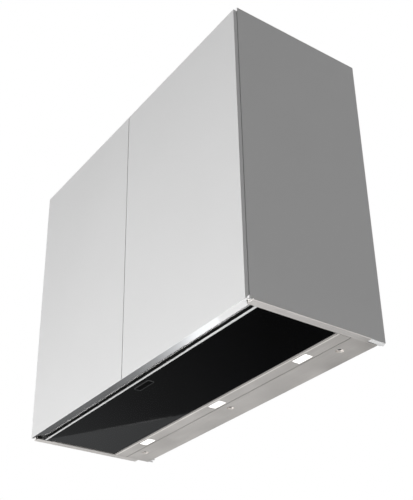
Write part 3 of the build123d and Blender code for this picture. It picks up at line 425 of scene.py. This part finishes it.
def lattice_tree():
    """A sheet of expanded metal: rhombic strands over a width and a depth."""
    tree, given, out = growth_group("expanded_metal", {
        "Width": "Float", "Depth": "Float", "Cells Across": "Int", "Cells Deep": "Int",
        "Strand Width": "Float", "Strand Height": "Float", "Place": "Vector"})

    def reckon(operation, first, second):
        made = add(tree, "ShaderNodeMath", {0: first, 1: second}, operation=operation)
        return made.outputs["Value"]

    cell_width = reckon("DIVIDE", given["Width"], given["Cells Across"])
    cell_depth = reckon("DIVIDE", given["Depth"], given["Cells Deep"])
    half_cell = reckon("MULTIPLY", cell_depth, 0.5)
    grid = add(tree, "GeometryNodeMeshGrid", {
        "Size X": reckon("SUBTRACT", given["Width"], cell_width),
        "Size Y": reckon("SUBTRACT", given["Depth"], cell_depth),
        "Vertices X": given["Cells Across"], "Vertices Y": given["Cells Deep"]})
    rhomb = add(tree, "GeometryNodeCurvePrimitiveQuadrilateral", {
        "Width": cell_width, "Bottom Height": half_cell, "Top Height": half_cell}, mode="KITE")
    strand = add(tree, "GeometryNodeCurvePrimitiveQuadrilateral", {
        "Width": given["Strand Width"], "Height": given["Strand Height"]}, mode="RECTANGLE")
    cell = add(tree, "GeometryNodeCurveToMesh", {
        "Curve": rhomb.outputs["Curve"], "Profile Curve": strand.outputs["Curve"]})
    spots = add(tree, "GeometryNodeInstanceOnPoints", {
        "Points": grid.outputs["Mesh"], "Instance": cell.outputs["Mesh"]})
    return finish_growth(tree, given, out, moved(tree, spots.outputs["Instances"], given["Place"]))


def seam_tree():
    """The folded seam that winds round a spiral duct."""
    tree, given, out = growth_group("spiral_seam", {
        "Radius": "Float", "Height": "Float", "Turns": "Float", "Seam Width": "Float",
        "Seam Height": "Float", "Place": "Vector"})
    spiral = add(tree, "GeometryNodeCurveSpiral", {
        "Resolution": 72, "Start Radius": given["Radius"], "End Radius": given["Radius"],
        "Height": given["Height"], "Rotations": given["Turns"]})
    upright = add(tree, "GeometryNodeSetCurveNormal", {"Curve": spiral.outputs["Curve"]},
                  mode="Z_UP")
    ridge = add(tree, "GeometryNodeCurvePrimitiveQuadrilateral", {
        "Width": given["Seam Height"], "Height": given["Seam Width"]}, mode="RECTANGLE")
    solid = add(tree, "GeometryNodeCurveToMesh", {
        "Curve": upright.outputs["Curve"], "Profile Curve": ridge.outputs["Curve"],
        "Fill Caps": True})
    return finish_growth(tree, given, out, moved(tree, solid.outputs["Mesh"], given["Place"]))


UNITS_ON_POINTS = repeat_tree()
EXPANDED_METAL = lattice_tree()
SPIRAL_SEAM = seam_tree()


def grown(name, tree, values, body, points=()):
    """Runs a geometry tree on a carrier with the given points and keeps the plain mesh it makes."""
    carrier_mesh = bpy.data.meshes.new(name + "_carrier")
    carrier_mesh.from_pydata([tuple(p) for p in points], [], [])
    carrier = link_object(name + "_carrier", carrier_mesh)
    modifier = carrier.modifiers.new("grow", "NODES")
    modifier.node_group = tree
    for item in tree.interface.items_tree:
        if item.item_type == "SOCKET" and item.in_out == "INPUT" and item.name in values:
            modifier[item.identifier] = values[item.name]
    graph = bpy.context.evaluated_depsgraph_get()
    mesh = bpy.data.meshes.new_from_object(carrier.evaluated_get(graph), depsgraph=graph)
    carrier.modifiers.remove(modifier)
    bpy.data.objects.remove(carrier)
    bpy.data.meshes.remove(carrier_mesh)
    return put(name, mesh, body)


def repeated(name, unit_mesh, points, turn, look, body):
    unit = link_object(name + "_unit", unit_mesh)
    values = {"Unit": unit, "Turn": turn, "Material": LOOKS[look]}
    grown(name, UNITS_ON_POINTS, values, body, points)
    bpy.data.objects.remove(unit)


TO_TOP, TO_BACK, TO_FRONT = (0.0, 0.0, 0.0), (-QUARTER_TURN, 0.0, 0.0), (QUARTER_TURN, 0.0, 0.0)
TO_RIGHT, TO_LEFT = (0.0, QUARTER_TURN, 0.0), (0.0, -QUARTER_TURN, 0.0)


# ---------------------------------------------------------------- grease filters
def filter_lattices():
    """Two layers of expanded metal in each filter frame, over a crumpled inner sheet."""
    low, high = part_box("filter_meshes")
    inner_end = 0.025
    middle = (high.x + inner_end) / 2
    width = high.x - inner_end
    depth = high.y - low.y
    # name, cells across, cells deep, height over the lower edge
    layers = (("a", 30, 22, 0.0006), ("b", 44, 34, 0.0018))
    columns, rows = 60, 24
    sheet_height, crumple, sheet_thickness = 0.0040, 0.0011, 0.0004
    for side, hand in SIDES:
        for layer, across, deep, height in layers:
            values = {"Width": width, "Depth": depth, "Cells Across": across, "Cells Deep": deep,
                      "Strand Width": 0.0007, "Strand Height": 0.0009,
                      "Place": (side * middle, (low.y + high.y) / 2, low.z + height),
                      "Material": LOOKS["filter_aluminium"]}
            grown(hand + "_filter_layer_" + layer, EXPANDED_METAL, values, "housing")
        points, faces = [], []
        for row in range(rows + 1):
            for column in range(columns + 1):
                x = side * middle + width * (column / columns - 0.5)
                y = low.y + depth * row / rows
                # two skewed waves, so that the crumples don't repeat in rows
                wave = math.sin(column * 2.1 + row * 0.4) * math.sin(row * 1.9 + column * 0.23)
                points.append((x, y, low.z + sheet_height + crumple * wave))
        for row in range(rows):
            for column in range(columns):
                first = row * (columns + 1) + column
                behind = first + columns + 1
                faces.append((behind, behind + 1, first + 1, first))
        sheet = bpy.data.meshes.new("inner_sheet")
        sheet.from_pydata(points, [], faces)
        inner = put(hand + "_filter_inner_sheet", sheet, "housing",
                    "filter_aluminium")
        inner.modifiers.new("thickness", "SOLIDIFY").thickness = sheet_thickness
    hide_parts("filter_meshes")


filter_lattices()


# ---------------------------------------------------------------- duct
def duct_details():
    """The spiral seam of the riser pipe, and the rivets in the flange of the outlet."""
    low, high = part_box("duct_pipe")
    centre_x, centre_y = (low.x + high.x) / 2, (low.y + high.y) / 2
    radius = (high.x - low.x) / 2
    collar_gap, bar_gap, seam_lift = 0.008, 0.012, 0.0003
    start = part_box("outlet_collar")[1].z + collar_gap
    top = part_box("hanger_bars")[0].z - bar_gap
    values = {"Radius": radius + seam_lift, "Height": top - start, "Turns": 6.0,
              "Seam Width": 0.0060, "Seam Height": 0.0022, "Place": (centre_x, centre_y, start),
              "Material": LOOKS["galvanised_steel"]}
    grown("duct_spiral_seam", SPIRAL_SEAM, values, "housing")
    flange_thickness, rivet_circle = 0.0014, 0.088
    flange_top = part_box("duct_outlet")[0].z + flange_thickness
    rivet = turned("rivet", [(0.0, 0.0), (0.0032, 0.0), (0.0031, 0.0006), (0.0022, 0.0013),
                             (0.0, 0.0016)])
    spots = []
    for degrees in range(30, 360, 60):
        angle = math.radians(degrees)
        spots.append((centre_x + rivet_circle * math.cos(angle),
                      centre_y + rivet_circle * math.sin(angle), flange_top))
    repeated("outlet_rivets", rivet, spots, TO_TOP, "zinc_steel", "housing")


duct_details()


# ---------------------------------------------------------------- cabinet hardware
def side_panel_details():
    """Shelf holes, drawn as proud black discs of painted shade, and joint caps in the inner faces
    of the side panels.
    """
    inner_faces = (("left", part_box("left_side_panel")[1].x, TO_RIGHT),
                   ("right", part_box("right_side_panel")[0].x, TO_LEFT))
    # a shelf hole is a shallow black disc on the face: painted shade for the dark inside of a hole
    painted_hole_shade = turned("shelf_hole_painted_shade", [(0.0, -0.0002), (0.0025, -0.0002), (0.0026, 0.0001),
                                 (0.0019, 0.00015), (0.0, -0.0001)])
    first_hole, hole_pitch, hole_count = 0.208, 0.032, 14
    heights = [first_hole + hole_pitch * step for step in range(hole_count)]
    for hand, x, turn in inner_faces:
        spots = [(x, y, z) for y in (-0.130, 0.118) for z in heights]
        repeated(hand + "_shelf_holes", painted_hole_shade, spots, turn, "black_plastic", "housing")
    cap = turned("joint_cap", [(0.0, -0.0002), (0.0085, -0.0002), (0.0085, 0.0006),
                               (0.0078, 0.0011), (0.0020, 0.0012), (0.0, 0.0010)], segments=24)
    cap_height = 0.686
    for hand, x, turn in inner_faces:
        spots = [(x, y, cap_height) for y in (-0.120, 0.135)]
        repeated(hand + "_joint_caps", cap, spots, turn, "grey_plastic", "housing")


def back_panel_studs():
    """Studs round the edge of the back panel."""
    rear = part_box("back_panel")[1].y
    stud = turned("panel_stud", [(0.0, -0.0002), (0.0040, -0.0002), (0.0038, 0.0007),
                                 (0.0024, 0.0013), (0.0, 0.0015)])
    outer, pitch = 0.405, 0.135
    columns = [-outer + pitch * step for step in range(7)]
    spots = [(x, rear, z) for x in columns for z in (0.030, 0.700)]
    spots += [(x, rear, z) for x in (-outer, outer) for z in (0.175, 0.365, 0.545)]
    repeated("back_panel_studs", stud, spots, TO_BACK, "zinc_steel", "housing")


def door_buffers():
    """Soft domes at the four corners behind each door."""
    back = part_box("left_door")[1].y
    dome = turned("door_buffer", [(0.0, -0.0001), (0.0040, -0.0001), (0.0039, 0.0004),
                                  (0.0028, 0.0008), (0.0, 0.0010)])
    for side, hand in SIDES:
        spots = [(side * x, back, z) for x in (0.036, 0.300) for z in (0.030, 0.718)]
        repeated(hand + "_door_buffers", dome, spots, TO_BACK, "grey_plastic", hand + "_door")


side_panel_details()
back_panel_studs()
door_buffers()


# ---------------------------------------------------------------- seals and edge plates
def oblong(first_start, first_end, second_start, second_end):
    return [(first_start, second_start), (first_end, second_start), (first_end, second_end),
            (first_start, second_end)]


def outline_at(origin, distances):
    """An outline given by its distances from an origin."""
    return [(origin[0] + first, origin[1] + second) for first, second in distances]


def prism(name, outline, start, end, axis, body, look):
    """A straight bar along X or Y; its outline is in the other horizontal axis and Z."""
    points = []
    for place in (start, end):
        for first, second in outline:
            points.append((place, first, second) if axis == "x" else (first, place, second))
    count = len(outline)
    faces = [tuple(range(count)), tuple(reversed(range(count, 2 * count)))]
    for step in range(count):
        after = (step + 1) % count
        faces.append((step, after, count + after, count + step))
    put(name, mesh_from(name, points, faces), body, look)


def panel_seals():
    """Grey felt on the nose of the glass trim, as painted shade on its front face, and foam on the
    tray behind it.
    """
    # the felt covers the trim's nose only up to felt_end, as painted shade where the trim's front
    # would be in shadow
    felt_end = 0.200
    low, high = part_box("panel_trim")
    nose = oblong(low.y - 0.00015, low.y + 0.00005, low.z + 0.0001, low.z + 0.0008)
    prism("trim_nose_felt", nose, low.x + 0.001, felt_end, "x", "panel", "grey_felt")
    tray_low, tray_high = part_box("panel_tray")
    tray_inset = 0.002
    foam = outline_at((tray_low.y, high.z), (
        (-0.0013, -0.0018), (-0.0009, -0.0018), (-0.0009, 0.0001), (0.0, 0.0001), (0.0, 0.0046),
        (-0.0013, 0.0046)))
    prism("tray_edge_foam", foam, tray_low.x + tray_inset, tray_high.x - tray_inset, "x", "panel",
          "foam_seal")


def rail_seals():
    """Pads and felt on the inner faces of the side rails, foam at the ends of the intake slot."""
    rail_face, pad_thickness, felt_thickness = 0.4302, 0.0005, 0.0004
    # the black nose pad reaches further on the left than on the right; the extra length is painted
    # shade on the rail's end plate
    nose_reach_with_painted_shade = {"left": 0.0100, "right": 0.0025}
    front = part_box("side_rails")[0].y
    pad = outline_at((front, 0.0), (
        (0.0002, 0.0002), (0.0110, 0.0002), (0.0110, 0.0055), (0.0002, 0.0038)))
    felt = outline_at((front, 0.0), (
        (0.0111, 0.0002), (0.0400, 0.0002), (0.0400, 0.0042), (0.0160, 0.0042), (0.0150, 0.0061),
        (0.0111, 0.0055)))
    for side, hand in SIDES:
        face = side * rail_face
        prism(hand + "_rail_front_pad", pad, face, face - side * pad_thickness, "x", "housing",
              "foam_seal")
        prism(hand + "_rail_felt", felt, face, face - side * felt_thickness, "x", "housing",
              "grey_felt")
        nose = face + side * nose_reach_with_painted_shade[hand]
        # name, section across the hood, start and end behind the front of the rails
        blocks = (
            ("_slot_end_foam", oblong(side * 0.4252, side * 0.4300, 0.0050, 0.0060),
             0.0112, 0.0477),
            ("_panel_lining_foam", oblong(side * 0.42495, side * 0.4247, 0.0063, 0.0170),
             0.0140, 0.0240),
            # nose pad: black foam, longer on the left as painted shade
            ("_rail_nose_pad", oblong(face, nose, 0.0003, 0.0034), -0.0003, 0.00005))
        for name, outline, start, end in blocks:
            prism(hand + name, outline, front + start, front + end, "y", "housing",
                  "foam_seal")


def trim_end_caps():
    """End caps that carry the lip of the glass trim on to the side rails."""
    overlap, reach, lip_depth, lip_height = 0.00005, 0.0045, 0.0049, 0.0009
    low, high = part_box("panel_trim")
    lip = oblong(low.y, low.y + lip_depth, low.z, low.z + lip_height)
    for side, name, end in ((-1, "left", low.x), (1, "right", high.x)):
        prism(name + "_trim_end_cap", lip, end - side * overlap, end + side * reach, "x", "panel",
              "trim_aluminium")


def rear_corner_fillers():
    """White wedges that close the step between the rear plate and the side panels' lower edges."""
    rail_gap, rear_gap = 0.0006, 0.0005
    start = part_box("side_rails")[1].y + rail_gap
    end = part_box("left_side_panel")[1].y - rear_gap
    for side, hand in SIDES:
        wedge = [(side * x, z) for x, z in (
            (0.4338, 0.0018), (0.4408, 0.0056), (0.4408, 0.0061), (0.4338, 0.0061))]
        prism(hand + "_rear_corner_filler", wedge, start, end, "y", "housing",
              "carcass_white")


def door_edge_plates():
    """Small steel plates let into the outer door edges at the lower pivots."""
    half_thickness = 0.0002
    for body, side in (("left_door", -1), ("right_door", 1)):
        low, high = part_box(body)
        face = high.x if side > 0 else low.x
        plate = outline_at((high.y, 0.0), (
            (-0.0056, 0.0048), (-0.0007, 0.0048), (-0.0007, 0.0118), (-0.0016, 0.0118),
            (-0.0056, 0.0066)))
        prism(body + "_edge_plate", plate, face - side * half_thickness,
              face + side * half_thickness, "x", body, "polished_steel")


panel_seals()
rail_seals()
trim_end_caps()
rear_corner_fillers()
door_edge_plates()


# ---------------------------------------------------------------- blower cover
def swage(name, centre_z, sheet_y):
    """A pressed bead: a long rounded ridge raised from a sheet that faces the front."""
    width, height, proud, taper = 0.280, 0.014, 0.0028, 0.42
    rings, steps = 5, 10
    points, faces = [], []
    for ring in range(rings + 1):
        share = ring / rings
        radius = height / 2 - share * height * taper
        lift = proud * math.sin(share * QUARTER_TURN)
        for side in (1, -1):
            middle = side * (width / 2 - height / 2)
            for step in range(steps + 1):
                angle = -QUARTER_TURN + math.pi * step / steps
                points.append((middle + side * radius * math.cos(angle), sheet_y - lift,
                               centre_z + side * radius * math.sin(angle)))
    count = 2 * (steps + 1)
    for ring in range(rings):
        here, above = ring * count, (ring + 1) * count
        for step in range(count):
            after = (step + 1) % count
            faces.append((here + step, here + after, above + after, above + step))
    faces.append(tuple(rings * count + step for step in range(count)))
    faces.append(tuple(reversed(range(count))))
    mesh = mesh_from(name, points, faces, smooth=True)
    put(name, mesh, "housing", "galvanised_steel")


def blower_cover_details():
    """Two pressed beads and two columns of rivets on the front of the blower cover."""
    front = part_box("blower_cover")[0].y
    sunk = 0.00015
    for index, z in enumerate((0.165, 0.305)):
        swage("cover_bead_%d" % index, z, front + sunk)
    rivet = turned("cover_rivet", [(0.0, -0.0002), (0.0030, -0.0002), (0.0029, 0.0005),
                                   (0.0020, 0.0011), (0.0, 0.0013)])
    spots = [(x, front, z) for x in (-0.166, 0.166) for z in (0.140, 0.190, 0.240, 0.290, 0.336)]
    repeated("cover_rivets", rivet, spots, TO_FRONT, "zinc_steel", "housing")


blower_cover_details()


# ---------------------------------------------------------------- studio
def stage_seen(tree):
    """1 for a ray that sees the stage directly, mirrored or through something clear, else 0."""
    rays = add(tree, "ShaderNodeLightPath").outputs
    seen = rays["Is Camera Ray"]
    for kind in ("Is Glossy Ray", "Is Transmission Ray"):
        larger = add(tree, "ShaderNodeMath", {0: seen, 1: rays[kind]}, operation="MAXIMUM")
        seen = larger.outputs["Value"]
    return seen


def floor_white():
    """A floor that reads as plain white where it's seen, and still takes a shadow."""
    lift = 0.85
    made, tree, surface = bare_material("floor_white")
    matt = add(tree, "ShaderNodeBsdfDiffuse", {"Color": grey(0.80)})
    glow = add(tree, "ShaderNodeEmission", {"Color": grey(1.0)})
    share = add(tree, "ShaderNodeMath", {0: stage_seen(tree), 1: lift}, operation="MULTIPLY")
    blend = add(tree, "ShaderNodeMixShader", {
        "Fac": share.outputs["Value"], 1: matt.outputs["BSDF"], 2: glow.outputs["Emission"]})
    join(tree, blend.outputs["Shader"], surface)
    return made


def studio_floor():
    half, height = 9, -2.75
    corners = [(x, y, height) for x, y in oblong(-half, half, -half, half)]
    mesh = mesh_from("floor", corners, [(0, 1, 2, 3)])
    mesh.materials.append(floor_white())
    floor = link_object("floor", mesh)


CARD_CENTRE = Vector((-2.47, 1.60, -1.23))
CARD_RIGHT = Vector((0.55, 0.835, 0.0)).normalized()
CARD_UP = Vector((-0.321, 0.212, 0.923)).normalized()


def glowing_card(name, columns):
    """A card that only glossy things mirror, in columns: across, low, high, glow low and high."""
    points, faces, glows = [], [], []
    for across, low, high, glow_low, glow_high in columns:
        for height, glow in ((low, glow_low), (high, glow_high)):
            points.append(tuple(CARD_CENTRE + across * CARD_RIGHT + height * CARD_UP))
            glows.append(glow)
    for first in range(0, 2 * len(columns) - 2, 2):
        faces.append((first, first + 2, first + 3, first + 1))
    mesh = bpy.data.meshes.new(name)
    mesh.from_pydata(points, [], faces)
    values = mesh.attributes.new("glow", "FLOAT", "POINT")
    for index, glow in enumerate(glows):
        values.data[index].value = glow
    made, tree, surface = bare_material(name)
    level = add(tree, "ShaderNodeAttribute", attribute_name="glow").outputs["Fac"]
    light = add(tree, "ShaderNodeEmission", {"Color": grey(1.0, -0.02), "Strength": level})
    join(tree, light.outputs["Emission"], surface)
    mesh.materials.append(made)
    card = link_object(name, mesh)
    for kind in ("camera", "diffuse", "transmission", "shadow", "volume_scatter"):
        setattr(card, "visible_" + kind, False)


def studio_world():
    """A world that is plain white where it's seen, and otherwise a weak even light."""
    ambient = 0.200
    world = bpy.data.worlds.new("studio")
    bpy.context.scene.world = world
    world.use_nodes = True
    tree = world.node_tree
    tree.nodes.clear()
    out = add(tree, "ShaderNodeOutputWorld")
    soft = add(tree, "ShaderNodeBackground", {"Color": grey(1.0), "Strength": ambient})
    white = add(tree, "ShaderNodeBackground", {"Color": grey(1.0), "Strength": 1.0})
    blend = add(tree, "ShaderNodeMixShader", {
        "Fac": stage_seen(tree), 1: soft.outputs["Background"], 2: white.outputs["Background"]})
    join(tree, blend.outputs["Shader"], out.inputs["Surface"])


def area_light(name, place, target, width, height, power):
    data = bpy.data.lights.new(name, "AREA")
    data.shape = "RECTANGLE"
    data.size = width
    data.size_y = height
    data.energy = power
    lamp = link_object(name, data)
    lamp.location = place
    aim = Vector(target) - Vector(place)
    lamp.rotation_euler = aim.to_track_quat("-Z", "Y").to_euler()
    lamp.visible_camera = False


studio_world()
studio_floor()

# name, place, target, width, height, power
area_light("key_front", (-0.16, -2.48, -2.41), (0.0, 0.0, 0.35), 1.3, 1.3, 124.5)
area_light("glow_side", (1.25, -0.55, -0.95), (0.44, -0.1, 0.2), 0.6, 0.6, 2.0)
area_light("fill_rear", (-0.6, 3.0, 1.6), (0.0, 0.178, 0.40), 1.6, 1.2, 44.0)
area_light("fill_top", (0.0, 0.6, 3.4), (0.0, 0.0, 0.77), 1.2, 1.2, 26.0)
area_light("fill_left", (-3.0, 0.35, 0.8), (-0.449, 0.0, 0.35), 1.2, 1.2, 26.0)

glowing_card("card_below", [
    (-0.95, 0.10, 0.295, 0.16, 0.18), (-0.50, -0.05, 0.215, 0.10, 0.12),
    (0.00, -0.35, 0.125, 0.050, 0.060), (0.55, -0.70, 0.02, 0.020, 0.025),
    (0.95, -1.10, -0.07, 0.020, 0.020), (1.10, -1.30, 0.12, 0.020, 0.020),
    (1.35, -1.50, 0.80, 0.020, 0.020), (3.20, -1.50, 1.20, 0.020, 0.020)])
glowing_card("card_above", [
    (-0.95, 0.295, 0.97, 0.30, 0.05), (-0.50, 0.215, 0.82, 0.29, 0.055),
    (-0.10, 0.145, 0.68, 0.25, 0.10), (0.05, 0.115, 0.63, 0.26, 0.19),
    (0.20, 0.07, 0.57, 0.40, 0.36), (0.33, 0.05, 0.53, 0.66, 0.62),
    (0.45, 0.03, 0.49, 1.05, 1.05), (0.60, 0.00, 0.44, 1.10, 1.10)])
glowing_card("card_high", [
    (0.30, 0.62, 1.60, 0.70, 0.70), (0.80, 0.55, 1.60, 0.15, 0.15),
    (1.40, 0.55, 1.60, 0.02, 0.02), (3.20, 0.90, 1.60, 0.02, 0.02)])


# ---------------------------------------------------------------- camera
def studio_camera():
    data = bpy.data.cameras.new("camera")
    data.sensor_fit = "AUTO"
    data.sensor_width = 36.0
    data.lens = 66.847
    data.shift_x = 0.03279
    data.shift_y = 0.08984
    data.clip_start = 0.05
    data.clip_end = 60.0
    camera = link_object("camera", data)
    place = (1.60707, -1.10677, -0.80270)
    ahead = Vector((-0.72153, 0.49916, 0.47983)).normalized()
    right = Vector((0.56525, 0.82488, -0.00813))
    right = (right - right.dot(ahead) * ahead).normalized()
    up = right.cross(ahead)
    turn = Matrix((right, up, -ahead)).transposed()
    camera.matrix_world = Matrix.Translation(place) @ turn.to_4x4()
    bpy.context.scene.camera = camera


studio_camera()
bpy.context.scene.view_settings.view_transform = "Standard"
